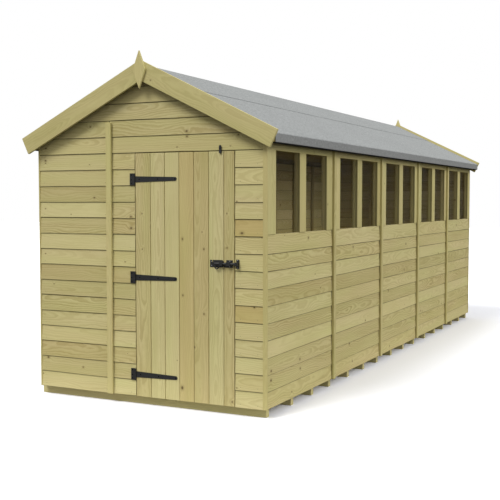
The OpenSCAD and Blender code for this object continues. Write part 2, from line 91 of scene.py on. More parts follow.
# ---------------------------------------------------------------- shader helpers
class Graph:
    """Short names for making and joining shader nodes."""

    def __init__(self, name):
        self.material = bpy.data.materials.new(name)
        self.material.use_nodes = True
        self.tree = self.material.node_tree
        self.tree.nodes.clear()
        self.shader = self.node("ShaderNodeBsdfPrincipled")
        out = self.node("ShaderNodeOutputMaterial")
        self.tree.links.new(self.shader.outputs[0], out.inputs["Surface"])

    def node(self, kind, **settings):
        made = self.tree.nodes.new(kind)
        for key, value in settings.items():
            setattr(made, key, value)
        return made

    def put(self, socket, value):
        if isinstance(value, bpy.types.NodeSocket):
            self.tree.links.new(value, socket)
        else:
            socket.default_value = value

    def set(self, name, value):
        self.put(self.shader.inputs[name], value)

    def math(self, operation, *values, clamp=False):
        made = self.node("ShaderNodeMath", operation=operation, use_clamp=clamp)
        for socket, value in zip(made.inputs, values):
            self.put(socket, value)
        return made.outputs[0]

    def vector(self, operation, *values):
        made = self.node("ShaderNodeVectorMath", operation=operation)
        for socket, value in zip(made.inputs, values):
            self.put(socket, value)
        return made.outputs["Value" if operation in ("LENGTH", "DISTANCE") else "Vector"]

    def scaled(self, vector, scale):
        return self.vector("MULTIPLY", vector, scale)

    def noise(self, vector, scale=1.0, detail=2.0, roughness=0.5):
        """Noise between about -0.5 and 0.5."""
        made = self.node("ShaderNodeTexNoise")
        self.put(made.inputs["Vector"], vector)
        made.inputs["Scale"].default_value = scale
        made.inputs["Detail"].default_value = detail
        made.inputs["Roughness"].default_value = roughness
        return self.math("SUBTRACT", made.outputs["Fac"], 0.5)

    def attribute(self, name):
        return self.node("ShaderNodeAttribute", attribute_name=name).outputs["Vector"]

    def split(self, vector):
        made = self.node("ShaderNodeSeparateXYZ")
        self.put(made.inputs[0], vector)
        return made.outputs

    def join(self, x, y, z=0.0):
        made = self.node("ShaderNodeCombineXYZ")
        for socket, value in zip(made.inputs, (x, y, z)):
            self.put(socket, value)
        return made.outputs[0]

    def ramp(self, value, low_in, high_in, low_out=0.0, high_out=1.0):
        made = self.node("ShaderNodeMapRange", interpolation_type="SMOOTHSTEP")
        for socket, item in zip(made.inputs, (value, low_in, high_in, low_out, high_out)):
            self.put(socket, item)
        return made.outputs[0]

    def mix(self, factor, a, b, blend="MIX"):
        made = self.node("ShaderNodeMix", data_type="RGBA", blend_type=blend)
        self.put(made.inputs[0], factor)
        self.put(made.inputs[6], a)
        self.put(made.inputs[7], b)
        return made.outputs[2]

    def bump(self, height, strength, distance):
        made = self.node("ShaderNodeBump")
        made.inputs["Strength"].default_value = strength
        made.inputs["Distance"].default_value = distance
        self.put(made.inputs["Height"], height)
        self.set("Normal", made.outputs[0])


KNOTS = ("knot_a", "knot_b", "knot_c")
# A board with fewer knots has the others this far off along its length, where they don't show
KNOT_AWAY, KNOT_RADIUS = 9.0, 0.004


def wood_material(name, light, dark, ring=0.013, rough=0.75, fibre_bump=0.35):
    """Softwood seen along the board: growth rings cut by the face, fibres, patches and knots.
    Needs these vectors on the mesh: grain, the place in the log (along, across, deep), tone, the
    board's own lightness, warmth and strength of figure, and for each of KNOTS the place from
    that knot's middle (along, across) and its radius. A float from 0 to 1 is painted shade: it
    darkens the laps, the window reveals and the blind side's top rail, where shade falls."""
    g = Graph(name)
    grain = g.attribute("grain")
    bright, warm, figure = g.split(g.attribute("tone"))
    u, v, w = g.split(grain)
    board = g.math("FLOOR", g.math("DIVIDE", u, LOG))

    # Knots: one place per cell of the face, and only some cells have one
    cell_u, cell_v = 0.42, 0.105
    cells = g.node("ShaderNodeTexVoronoi", voronoi_dimensions="2D", feature="F1")
    place = g.join(g.math("DIVIDE", u, cell_u), g.math("DIVIDE", v, cell_v))
    g.put(cells.inputs["Vector"], place)
    cells.inputs["Scale"].default_value = 1.0
    cells.inputs["Randomness"].default_value = 0.9
    away = g.scaled(g.vector("SUBTRACT", place, cells.outputs["Position"]), (cell_u * 0.7, cell_v, 1.0))
    far = g.vector("LENGTH", away)
    chance, size, shade = g.split(cells.outputs["Color"])
    no_knot = g.math("LESS_THAN", chance, 0.84)
    radius = g.math("MULTIPLY_ADD", g.math("POWER", size, 2.0), 0.0070, 0.0022)
    reach = g.math("MULTIPLY_ADD", no_knot, 99.0, g.math("DIVIDE", far, radius))
    for knot in KNOTS:
        from_u, from_v, own_radius = g.split(g.attribute(knot))
        own = g.vector("LENGTH", g.join(g.math("MULTIPLY", from_u, 0.75), from_v))
        reach = g.math("MINIMUM", reach, g.math("DIVIDE", own, own_radius))
    swirl = g.ramp(reach, 0.6, 6.0, 1.0, 0.0)

    # Growth rings round a pith line that wanders along the board
    wander = g.noise(g.scaled(grain, (2.4, 9.0, 3.0)), detail=1.0)
    wobble = g.noise(g.scaled(grain, (14.0, 34.0, 20.0)), detail=2.0)
    centre = g.vector("LENGTH", g.join(v, w))
    radius_here = g.math("MULTIPLY_ADD", wander, 0.075, centre)
    radius_here = g.math("MULTIPLY_ADD", wobble, 0.011, radius_here)
    radius_here = g.math("MULTIPLY_ADD", swirl, 0.014, radius_here)
    rings = g.math("DIVIDE", radius_here, ring)
    step = g.math("FRACT", rings)
    rise = g.ramp(step, 0.05, 0.80)
    fall = g.ramp(step, 0.84, 1.0, 1.0, 0.0)
    strong = g.noise(g.join(g.math("MULTIPLY", rings, 0.43), board), detail=1.0)
    late = g.math("MULTIPLY", g.math("POWER", rise, 1.5), fall)
    late = g.math("MULTIPLY", late, g.math("MULTIPLY_ADD", strong, 2.2, 1.0))
    fine = g.math("SINE", g.math("MULTIPLY", rings, 2 * math.pi * 3.0))

    fibre = g.noise(g.scaled(grain, (9.0, 420.0, 420.0)), detail=3.0, roughness=0.6)
    streak = g.noise(g.scaled(grain, (1.4, 60.0, 60.0)), detail=2.0)
    patch = g.noise(g.scaled(grain, (1.5, 6.0, 6.0)), detail=2.0)
    hue = g.noise(g.scaled(grain, (1.1, 9.0, 9.0)), detail=1.0)

    level = g.math("MULTIPLY_ADD", bright, 0.26, 0.66)
    level = g.math("MULTIPLY_ADD", patch, 0.45, level)
    level = g.math("MULTIPLY_ADD", streak, 0.26, level)
    level = g.math("MULTIPLY_ADD", fibre, 0.22, level)
    level = g.math("MULTIPLY_ADD", g.math("MULTIPLY", fine, figure), 0.035, level)
    level = g.math("SUBTRACT", level, g.math("MULTIPLY", late, g.math("MULTIPLY", figure, 0.31)))
    level = g.math("ADD", level, 0.0, clamp=True)
    colour = g.mix(level, dark, light)
    green = g.mix(1.0, colour, (0.93, 1.0, 0.86, 1.0), "MULTIPLY")
    colour = g.mix(g.math("MULTIPLY_ADD", hue, 1.6, 0.35, clamp=True), colour, green)
    rosy = g.mix(1.0, colour, (1.03, 0.95, 0.84, 1.0), "MULTIPLY")
    colour = g.mix(warm, colour, rosy)

    ring_shade = g.ramp(reach, 1.0, 2.6, 0.35, 0.0)
    colour = g.mix(ring_shade, colour, (0.24, 0.17, 0.06, 1.0))
    core = g.math("MULTIPLY", g.ramp(reach, 0.55, 1.15, 1.0, 0.0),
                  g.math("MULTIPLY_ADD", shade, 0.3, 0.6))
    colour = g.mix(core, colour, (0.085, 0.055, 0.022, 1.0))
    # Painted shade: near-black brown where shade falls, at the laps, the reveals and the top rail, a
    # little uneven
    grime = g.node("ShaderNodeAttribute", attribute_name="grime").outputs["Fac"]
    grime = g.math("MULTIPLY", grime, g.math("MULTIPLY_ADD", patch, 0.6, 0.72))
    colour = g.mix(grime, colour, (0.060, 0.050, 0.022, 1.0))

    g.set("Base Color", colour)
    g.set("Roughness", rough)
    g.shader.inputs["Specular IOR Level"].default_value = 0.25
    height = g.math("MULTIPLY_ADD", late, 0.5, g.math("MULTIPLY", fibre, 1.2))
    g.bump(height, fibre_bump, 0.0006)
    return g.material


def felt_material(name, base, speckle=1.0):
    """Mineral roofing felt: fine chips over a slightly uneven sheet."""
    g = Graph(name)
    place = g.node("ShaderNodeTexCoord").outputs["Object"]
    chips = g.noise(place, scale=520.0, detail=2.0, roughness=0.7)
    clumps = g.noise(place, scale=60.0, detail=2.0, roughness=0.75)
    cloud = g.noise(place, scale=2.2, detail=2.0)
    level = g.math("MULTIPLY_ADD", chips, 0.75 * speckle, 0.5)
    level = g.math("MULTIPLY_ADD", clumps, 2.0 * speckle, level)
    level = g.math("MULTIPLY_ADD", cloud, 0.22, level, clamp=True)
    darker = tuple(c * 0.70 for c in base) + (1.0,)
    lighter = tuple(c * 1.30 for c in base) + (1.0,)
    g.set("Base Color", g.mix(level, darker, lighter))
    g.set("Roughness", 0.92)
    g.shader.inputs["Specular IOR Level"].default_value = 0.2
    g.bump(g.math("ADD", chips, g.math("MULTIPLY", clumps, 1.5)), 0.5, 0.0012)
    return g.material


def iron_material(name):
    """Black japanned steel, a little uneven."""
    g = Graph(name)
    place = g.node("ShaderNodeTexCoord").outputs["Object"]
    coat = g.noise(place, scale=260.0, detail=2.0)
    wear = g.noise(place, scale=30.0, detail=3.0)
    level = g.math("MULTIPLY_ADD", wear, 1.2, 0.5, clamp=True)
    g.set("Base Color", g.mix(level, (0.006, 0.0065, 0.0065, 1.0), (0.017, 0.018, 0.018, 1.0)))
    g.set("Roughness", g.math("MULTIPLY_ADD", coat, 0.25, 0.46))
    g.shader.inputs["Specular IOR Level"].default_value = 0.5
    g.bump(coat, 0.25, 0.0006)
    return g.material


def steel_material(name, dull, bright):
    """Nail and screw heads: dull metal, mottled."""
    g = Graph(name)
    place = g.node("ShaderNodeTexCoord").outputs["Object"]
    stain = g.noise(place, scale=180.0, detail=1.0)
    level = g.math("MULTIPLY_ADD", stain, 1.0, 0.5, clamp=True)
    g.set("Base Color", g.mix(level, dull, bright))
    g.shader.inputs["Metallic"].default_value = 0.5
    g.shader.inputs["Roughness"].default_value = 0.55
    return g.material


def screw_shade_material(name):
    """Black screw heads, darker than the japanned straps and plates as painted shade for heads sunk in
    them, with the black worn dull.
    """
    g = Graph(name)
    stain = g.noise(g.node("ShaderNodeTexCoord").outputs["Object"], scale=320.0, detail=1.0)
    g.set("Base Color", g.mix(stain, (0.0010, 0.0010, 0.0010, 1.0), (0.0040, 0.0040, 0.0042, 1.0)))
    g.set("Roughness", 0.85)
    g.shader.inputs["Specular IOR Level"].default_value = 0.1
    return g.material


def glass_material(name):
    """Thin clear glazing with a faint sheen, and nearly no colour of its own."""
    g = Graph(name)
    place = g.node("ShaderNodeTexCoord").outputs["Object"]
    ripple = g.noise(place, scale=2.0, detail=1.0)
    g.set("Base Color", (0.06, 0.07, 0.065, 1.0))
    g.set("Roughness", g.math("MULTIPLY_ADD", ripple, 0.02, 0.05))
    g.shader.inputs["Alpha"].default_value = 0.05
    g.shader.inputs["Specular IOR Level"].default_value = 0.15
    g.material.surface_render_method = "BLENDED"
    return g.material


CLADDING = wood_material("cladding_wood", (0.628, 0.552, 0.284, 1.0), (0.385, 0.308, 0.122, 1.0))
PLANED = wood_material("planed_wood", (0.615, 0.540, 0.262, 1.0), (0.385, 0.318, 0.128, 1.0),
                       ring=0.011, fibre_bump=0.2)
SAWN = wood_material("sawn_wood", (0.580, 0.500, 0.250, 1.0), (0.330, 0.265, 0.115, 1.0),
                     ring=0.010, rough=0.85, fibre_bump=0.6)
FELT = felt_material("mineral_felt", (0.270, 0.280, 0.277))
# A darker copy of the felt for the folds down the fascias: painted shade on their upright faces
FELT_FOLD_SHADED = felt_material("mineral_felt_fold_shaded", (0.235, 0.240, 0.235), 0.8)
# Nearly black, for the felt turned under each fold: a painted shadow line
FOLD_SHADOW_FELT = felt_material("felt_fold_shadow", (0.012, 0.012, 0.011), 0.4)
IRON = iron_material("black_iron")
SCREW_SHADE = screw_shade_material("screw_heads_painted_shade")
STEEL = steel_material("nail_steel", (0.10, 0.085, 0.06, 1.0), (0.17, 0.15, 0.11, 1.0))
ZINC = steel_material("screw_zinc", (0.24, 0.25, 0.26, 1.0), (0.36, 0.37, 0.38, 1.0))
GLASS = glass_material("clear_glazing")


# ---------------------------------------------------------------- timber builder
def centre_of(bm):
    """The mean of a bmesh's points."""
    return sum((v.co for v in bm.verts), Vector()) / len(bm.verts)


def add_piece(name, mesh, material, body, nodes):
    """Puts a mesh in the scene as a piece that rides on a CAD body, in the place of CAD nodes."""
    made = bpy.data.objects.new(name, mesh)
    bpy.context.scene.collection.objects.link(made)
    made.data.materials.append(material)
    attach(made, body)
    if nodes:
        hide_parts(*nodes)


class Timber:
    """Boards and bars gathered into one mesh, each with its own grain and tone."""

    def __init__(self, name, seed):
        self.name = name
        self.rng = random.Random(seed)
        self.verts, self.faces, self.grain, self.tone, self.grime = [], [], [], [], []
        self.knots = {knot: [] for knot in KNOTS}

    def place(self, bm, along, across, tone=None, figure=None, warm=None, pith=None, knots=(),
              grime=None):
        """Takes a bmesh in, with the board's length and width directions. knots are points with
        radii, and the last argument gives a point's painted shade, from 0 to 1."""
        rng = self.rng
        along = along.normalized()
        across = (across - along * across.dot(along)).normalized()
        depth = along.cross(across)
        centre = centre_of(bm)
        start = (rng.randrange(1, 900) + 0.5) * LOG
        flat = rng.random() < 0.6
        side = rng.choice((-1, 1))
        if pith is None:
            pith = rng.uniform(-0.035, 0.035) if flat else side * rng.uniform(0.06, 0.16)
        heart = rng.uniform(0.02, 0.07)
        arch = side * rng.uniform(0.015, 0.06)
        tone = rng.uniform(-0.8, 0.8) if tone is None else tone
        figure = rng.uniform(0.35, 1.15) if figure is None else figure
        warm = rng.uniform(0.0, 0.35) if warm is None else warm
        base = len(self.verts)
        bm.verts.index_update()
        for v in bm.verts:
            off = v.co - centre
            self.verts.append(v.co.copy())
            run = off.dot(along)
            self.grain.append((run + start, off.dot(across) + pith, off.dot(depth) + heart + arch * run))
            self.tone.append((tone, warm, figure))
            self.grime.append(grime(v.co) if grime else 0.0)
            for i, name in enumerate(KNOTS):
                point, radius = knots[i] if i < len(knots) else (v.co - along * KNOT_AWAY, KNOT_RADIUS)
                away = v.co - Vector(point)
                self.knots[name].append((away.dot(along), away.dot(across), radius))
        for f in bm.faces:
            self.faces.append([base + v.index for v in f.verts])
        bm.free()

    def finish(self, material, body, slot, *nodes):
        mesh = bpy.data.meshes.new(self.name)
        mesh.from_pydata(self.verts, [], self.faces)
        for name, values in (("grain", self.grain), ("tone", self.tone), *self.knots.items()):
            layer = mesh.attributes.new(name, "FLOAT_VECTOR", "POINT")
            layer.data.foreach_set("vector", [x for item in values for x in item])
        mesh.attributes.new("grime", "FLOAT", "POINT").data.foreach_set("value", self.grime)
        mesh.update()
        add_piece(self.name, mesh, material, body, nodes)


def loft(rings):
    """Closed bmesh through rings of points, with flat ends."""
    bm = bmesh.new()
    made = [[bm.verts.new(p) for p in ring] for ring in rings]
    count = len(rings[0])
    for a, b in zip(made, made[1:]):
        for i in range(count):
            j = (i + 1) % count
            bm.faces.new((a[i], a[j], b[j], b[i]))
    bm.faces.new(made[0][::-1])
    bm.faces.new(made[-1])
    bmesh.ops.recalc_face_normals(bm, faces=bm.faces)
    return bm


def cut(bm, point, normal):
    """Removes what is on the normal's side of a plane, and closes the cut."""
    parts = bm.verts[:] + bm.edges[:] + bm.faces[:]
    result = bmesh.ops.bisect_plane(bm, geom=parts, plane_co=point, plane_no=normal, clear_outer=True)
    rim = [e for e in result["geom_cut"] if isinstance(e, bmesh.types.BMEdge)]
    if rim:
        bmesh.ops.holes_fill(bm, edges=rim)


def islands(node):
    """The solids of a CAD node, each as a bmesh with flat faces whole."""
    whole = bmesh.new()
    whole.from_mesh(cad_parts[node].data)
    bmesh.ops.remove_doubles(whole, verts=whole.verts, dist=1e-6)
    bmesh.ops.dissolve_limit(whole, angle_limit=math.radians(1.0), verts=whole.verts, edges=whole.edges)
    whole.verts.ensure_lookup_table()
    seen, found = set(), []
    for first in whole.verts:
        if first.index in seen:
            continue
        group, stack = [], [first]
        seen.add(first.index)
        while stack:
            v = stack.pop()
            group.append(v)
            for e in v.link_edges:
                other = e.other_vert(v)
                if other.index not in seen:
                    seen.add(other.index)
                    stack.append(other)
        bm = bmesh.new()
        new = {v.index: bm.verts.new(v.co) for v in group}
        # In a fixed order, so that the script gives the same result each run
        for f in reversed(whole.faces[:]):
            if f.verts[0].index in new:
                bm.faces.new([new[v.index] for v in f.verts])
        bmesh.ops.recalc_face_normals(bm, faces=bm.faces)
        found.append(bm)
    whole.free()
    found.sort(key=lambda b: tuple(round(c, 4) for c in centre_of(b)))
    return found


def long_axes(bm):
    """The board's own length and width directions, from its longest edges."""
    along = max((e.verts[1].co - e.verts[0].co for e in bm.edges), key=lambda d: d.length).normalized()
    across, best = None, -1.0
    for e in bm.edges:
        d = e.verts[1].co - e.verts[0].co
        d -= along * d.dot(along)
        if d.length > best:
            across, best = d, d.length
    return along, across


def soften(bm, width, angle=25):
    """Eases every edge that turns by more than an angle in degrees."""
    sharp = [e for e in bm.edges if e.is_manifold and e.calc_face_angle(0.0) > math.radians(angle)]
    bmesh.ops.bevel(bm, geom=sharp, offset=width, segments=1, profile=0.5, affect="EDGES",
                    clamp_overlap=True)


def dress(timber, *nodes, edge=0.0015, along=None, across=None, **look):
    """Rebuilds the bars of CAD nodes with eased edges and their own grain."""
    for node in nodes:
        for bm in islands(node):
            a, b = long_axes(bm)
            soften(bm, edge)
            timber.place(bm, Vector(along) if along else a, Vector(across) if across else b, **look)


# ---------------------------------------------------------------- cladding
# Thickness of a board's lower edge, and how steeply its face falls back above it
BUTT = 0.0066
TILT = 0.0072 / (EXPOSURE + LAP)
# Height of the band of painted shade on either side of a lap; the board's section bends at these heights
# too
ARRIS, SHADE = 0.0032, 0.0055
# Where a board's back is at its top, and how far forward it is just below that
TOP_BACK, BACK_STEP = CLAD - CLEAR, 0.0004
# Height of the slow ripple in a board's lower edge
RIPPLE = 0.0022
# A point this close to an edge of a board's section counts as on it
MARGIN = 0.0005


class Wall:
    """The outer plane of a wall: a start point, its direction, and outwards."""

    def __init__(self, start, along, out):
        self.start, self.along, self.out = Vector(start), Vector(along), Vector(out)

    def at(self, s, out, z):
        p = self.start + self.along * s + self.out * out
        return Vector((p.x, p.y, z))


def lapped_board(timber, wall, s0, s1, z, height, roof, covered, **look):
    """One feather-edged board, from s0 to s1 along the wall and up from z. Its lower edge stands
    proud with painted shade along it, and if covered its top goes under the next board and gets
    painted shade there. roof cuts it along both slopes."""
    rng = timber.rng
    seed = rng.uniform(0, 900)
    fall, rise = rng.uniform(-0.0022, 0.0022), rng.uniform(-0.0022, 0.0022)
    proud = rng.uniform(-0.0012, 0.0)
    count = max(2, round((s1 - s0) / 0.11))
    ease = 0.0014

    def lower_edge(s):
        t = (s - s0) / (s1 - s0)
        ripple = noise.noise(Vector((s * 3.1, seed, 0.0)))
        ripple += 0.5 * noise.noise(Vector((s * 9.0, seed, 5.0)))
        return z + fall * (1 - t) + rise * t + RIPPLE * ripple

    rings = []
    for i in range(count + 1):
        s = s0 + (s1 - s0) * i / count
        foot = lower_edge(s)
        lap = min(z + EXPOSURE, z + height - 2 * ease)
        section = [
            (proud - ease, foot), (proud, foot + ease), (proud - TILT * ARRIS, foot + ARRIS),
            (-TILT * (lap - SHADE - z), lap - SHADE), (-TILT * (lap - z), lap),
            (-TILT * height, z + height - ease), (-TILT * height - ease, z + height),
            (-TOP_BACK, z + height), (-TOP_BACK + BACK_STEP, z + height - SHADE), (-BUTT, foot)]
        if z < FOOT + 1e-4:
            section = [(o, max(h, z)) for o, h in section]
        rings.append([wall.at(s, o, h) for o, h in section])

    # Painted shade along the lower arris and under the next board's lap, where shade falls
    def lap_shade(point):
        s = (point - wall.start).dot(wall.along)
        out = (point - wall.start).dot(wall.out)
        above = point.z - lower_edge(s)
        if out < 0.5 * (-BUTT - TOP_BACK):
            return 1.0 if point.z > z + height - MARGIN else 0.0
        if out < -BUTT + MARGIN and above < ARRIS:
            return 0.0
        under_lap = covered and point.z > z + EXPOSURE - 0.5 * SHADE
        return 1.0 if under_lap or above < 0.5 * (ease + ARRIS) else 0.0

    bm = loft(rings)
    if roof:
        for side in (-1, 1):
            cut(bm, Vector((0, 0, APEX)), Vector((side * math.sin(PITCH), 0, math.cos(PITCH))))
    if bm.verts:
        timber.place(bm, wall.along, Vector((0, 0, 1)), grime=lap_shade, **look)
    else:
        bm.free()


TONES = {"L": 0.75, "l": 0.35, "m": 0.0, "d": -0.4, "D": -0.8}


def course(timber, wall, s0, s1, first, last, tones, figures, warm_rows=(), spots=(), contrast=1.0,
           limit=math.inf, roof=False, open_top=False):
    """Boards from row first up to row last. tones names each row's shade, and figures gives the
    strength of its figure from 0 to 9; both are cycled. spots are knots: place along the wall,
    height and radius. No board goes above limit, and open_top leaves the last row uncovered."""
    for row in range(first, last):
        foot = FOOT + row * EXPOSURE
        look = {
            "knots": [(wall.at(s, 0.0, z), radius) for s, z, radius in spots
                      if s0 < s < s1 and foot < z < foot + EXPOSURE],
            "tone": contrast * TONES[tones[row % len(tones)]] + timber.rng.uniform(-0.12, 0.12),
            "figure": 0.15 + int(figures[row % len(figures)]) * 0.15,
            "warm": 1.0 if row in warm_rows else timber.rng.uniform(0.0, 0.3)}
        lapped_board(timber, wall, s0, s1, foot, height=min(EXPOSURE + LAP, limit - foot), roof=roof,
                     covered=not open_top or row < last - 1, **look)


FRONT = Wall((0, -HALF_L, 0), (1, 0, 0), (0, -1, 0))
BACK = Wall((0, HALF_L, 0), (1, 0, 0), (0, 1, 0))
BLIND = Wall((-HALF_W, 0, 0), (0, 1, 0), (-1, 0, 0))
WINDOW = Wall((HALF_W, 0, 0), (0, 1, 0), (1, 0, 0))

DOOR_ROWS = round((HEAD - FOOT) / EXPOSURE)
SPLIT_ROWS = DOOR_ROWS + 2
ALL_ROWS = math.ceil((APEX - FOOT) / EXPOSURE)
SIDE_ROWS = math.ceil((SIDE_TOP - FOOT) / EXPOSURE)
SILL_ROWS = round((SILL - LAP - FOOT) / EXPOSURE)

# Shades and strengths of figure, from the lowest row up
LEFT_PANEL = "LddLlmdDLLmLDmllm", "34635945229142365"
HINGE_STRIP = "LddLlmddlLdmdlm", "346359343286426"
LATCH_STRIP = "LlLlLDLlLLDllLl", "454643745914364"
OVER_DOOR = "mdm", "577"
GABLE = "mlm", "457"
WINDOW_PANEL = "mddLdlDLml", "5762956485"
LATCH_WARM = (5, 10)
# Knots and dark fixings: place along the wall, height and radius
FRONT_SPOTS = (
    (-0.481, 2.033, 0.005), (-0.900, 1.774, 0.004), (-0.906, 1.429, 0.004), (-0.911, 1.086, 0.004),
    (-0.896, 0.288, 0.008), (-0.127, 1.374, 0.007), (0.775, 1.269, 0.009), (0.867, 0.765, 0.006),
    (0.736, 1.485, 0.004), (0.734, 0.200, 0.004), (0.342, 1.976, 0.008), (0.342, 1.939, 0.007),
    (0.746, 1.939, 0.006))
WINDOW_SPOTS = (
    (-2.261, 1.214, 0.009), (-1.282, 1.100, 0.009), (-2.922, 0.324, 0.008), (-2.919, 0.258, 0.009),
    (-2.423, 0.328, 0.008), (-2.409, 0.256, 0.008), (-1.360, 0.290, 0.008), (-1.290, 0.130, 0.007),
    (-2.020, 0.820, 0.005), (-0.300, 0.640, 0.007), (0.250, 1.060, 0.009), (0.800, 0.330, 0.007),
    (1.500, 0.900, 0.008), (2.300, 0.420, 0.007))

front = Timber("front_boards", 11)
course(front, FRONT, LEFT, JOINT - HALF_GAP, 0, SPLIT_ROWS, *LEFT_PANEL, spots=FRONT_SPOTS, roof=True)
course(front, FRONT, JOINT + HALF_GAP, OPEN_L, 0, DOOR_ROWS, *HINGE_STRIP, spots=FRONT_SPOTS)
course(front, FRONT, OPEN_R, RIGHT, 0, DOOR_ROWS, *LATCH_STRIP, warm_rows=LATCH_WARM, spots=FRONT_SPOTS)
course(front, FRONT, JOINT + HALF_GAP, RIGHT, DOOR_ROWS, SPLIT_ROWS, *OVER_DOOR,
       spots=FRONT_SPOTS, roof=True)
course(front, FRONT, LEFT, RIGHT, SPLIT_ROWS, ALL_ROWS, *GABLE, roof=True)
front.finish(CLADDING, "shed", "cladding_timber",
             "front_cladding_hinge_side", "front_cladding_latch_side", "front_gable_cladding")

back = Timber("back_boards", 12)
course(back, BACK, LEFT, JOINT - HALF_GAP, 0, SPLIT_ROWS, "LmdLmldmLldm", "3647258", roof=True)
course(back, BACK, JOINT + HALF_GAP, RIGHT, 0, SPLIT_ROWS, "mLdmlLdmLmd", "5274638", roof=True)
course(back, BACK, LEFT, RIGHT, SPLIT_ROWS, ALL_ROWS, "lmd", "456", roof=True)
back.finish(CLADDING, "shed", "cladding_timber", "back_cladding", "back_gable_cladding")


def bay_ends(i):
    """Where the boards of a side panel start and end along the wall."""
    start = -FRAME_Y if i == 0 else FIRST_JOINT + (i - 1) * BAY + HALF_GAP
    end = FRAME_Y if i == BAYS - 1 else FIRST_JOINT + i * BAY - HALF_GAP
    return start, end


blind = Timber("blind_side_boards", 13)
window = Timber("window_side_boards", 14)
for i in range(BAYS):
    start, end = bay_ends(i)
    course(blind, BLIND, start, end, 0, SIDE_ROWS, "mddLdlDLmlLdmLdl", "4651845374", limit=SIDE_TOP)
    course(window, WINDOW, start, end, 0, SILL_ROWS, *WINDOW_PANEL,
           spots=WINDOW_SPOTS, contrast=0.75, open_top=True)
blind.finish(CLADDING, "shed", "cladding_timber", "blind_side_cladding")
window.finish(CLADDING, "shed", "cladding_timber", "window_side_cladding")

# ---------------------------------------------------------------- trims, windows, door, frame
trims = Timber("corner_and_cover_strips", 21)
dress(trims, "front_cover_strip", edge=0.0018, tone=0.45, figure=0.5)
dress(trims, "back_cover_strip", "blind_side_cover_strips",
      "window_side_cover_strips", edge=0.0018)
dress(trims, "corner_trims", edge=0.0018, tone=-0.45, figure=0.5, warm=0.3)
trims.finish(PLANED, "shed", "trim_timber", "front_cover_strip", "back_cover_strip",
             "blind_side_cover_strips", "window_side_cover_strips", "corner_trims")

surround = Timber("window_surrounds", 22)
dress(surround, "window_heads", edge=0.0012)
# Painted shade on the reveals outside the glass, towards the back
REVEAL_SHADE, REVEAL_DEPTH = 0.9, 0.003
dress(surround, "window_stiles", "window_mullions", edge=0.0012,
      grime=lambda p: REVEAL_SHADE if p.x < FRAME_X + REVEAL_DEPTH else 0.0)
surround.finish(PLANED, "shed", "trim_timber", "window_heads", "window_stiles", "window_mullions")


def dressed_piece(name, seed, material, body, slot, nodes, **look):
    """One piece that stands for CAD nodes: their bars with eased edges and grain."""
    timber = Timber(name, seed)
    dress(timber, *nodes, **look)
    timber.finish(material, body, slot, *nodes)


dressed_piece("bargeboards", 123, PLANED, "shed", "trim_timber",
              ("front_bargeboards", "back_bargeboards"), edge=0.0008, figure=0.7, tone=-0.05)
dressed_piece("finials", 24, PLANED, "shed", "trim_timber", ("front_finial", "back_finial"),
              along=(0, 0, 1), across=(1, 0, 0), tone=0.45, figure=0.6)

DOOR_FACE = low("door_boards").y


def door_knots(*places):
    """Knots on the door's face, each given as x, z and radius."""
    return [((x, DOOR_FACE, z), radius) for x, z, radius in places]


DOOR_LOOKS = (
    dict(tone=0.00, warm=0.20, figure=1.1, pith=0.004,
         knots=door_knots((-0.030, 1.141, 0.004), (-0.031, 1.397, 0.004))),
    dict(tone=0.75, warm=0.05, figure=1.0, pith=-0.006),
    dict(tone=0.60, warm=0.10, figure=0.4, pith=0.090),
    dict(tone=-0.15, warm=0.7, figure=0.5, pith=-0.100,
         knots=door_knots((0.305, 1.221, 0.007), (0.307, 0.822, 0.006), (0.299, 0.161, 0.010))),
    dict(tone=-0.50, warm=0.35, figure=0.8, pith=0.030,
         knots=door_knots((0.478, 1.153, 0.006), (0.477, 0.699, 0.006), (0.400, 0.459, 0.006))),
    dict(tone=0.50, warm=0.00, figure=0.9, pith=0.000),
    dict(tone=-0.50, warm=0.15, figure=1.2, pith=0.006,
         knots=door_knots((0.660, 1.166, 0.005), (0.659, 1.402, 0.004), (0.698, 0.099, 0.005))))
# Half of the seam between two door boards. The tongue in it: its depth below the face, its
# thickness, and how far it stops short at each end
SEAM = 0.0013
TONGUE, TONGUE_THICK, TONGUE_SHORT = 0.006, 0.004, 0.001


def bar(corner, size):
    """A plain box as a bmesh."""
    x, y, z = size
    section = ((0, 0), (x, 0), (x, y), (0, y))
    return loft([[Vector(corner) + Vector((a, b, h)) for a, b in section] for h in (0, z)])


door = Timber("door_boarding", 25)
door_low, door_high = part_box("door_boards")
seams = []
for i, (bm, look) in enumerate(zip(islands("door_boards"), DOOR_LOOKS)):
    xs = [v.co.x for v in bm.verts]
    bm.free()
    first, last = i == 0, i == len(DOOR_LOOKS) - 1
    x0, x1 = min(xs) + (0 if first else SEAM), max(xs) - (0 if last else SEAM)
    board = bar((x0, DOOR_FACE, door_low.z),
                (x1 - x0, door_high.y - DOOR_FACE, door_high.z - door_low.z))
    soften(board, 0.0020)
    door.place(board, Vector((0, 0, 1)), Vector((1, 0, 0)), **look)
    if not last:
        seams.append(max(xs))
for x in seams:
    tongue = bar((x - 2 * SEAM, DOOR_FACE + TONGUE, door_low.z + TONGUE_SHORT),
                 (4 * SEAM, TONGUE_THICK, door_high.z - door_low.z - 2 * TONGUE_SHORT))
    door.place(tongue, Vector((0, 0, 1)), Vector((1, 0, 0)), tone=-0.8)
door.finish(CLADDING, "door", "door_timber", "door_boards")

dressed_piece("door_framing", 26, SAWN, "door", "framing_timber", ("door_ledges", "door_braces"))

# A height just above the lower edge of the blind side's top rail, how far below it that edge may
# be, and the painted shade on the rest of the rail
RAIL_FOOT = high("blind_side_rails").z - 0.040
RAIL_EDGE, RAIL_SHADE = 0.010, 0.45


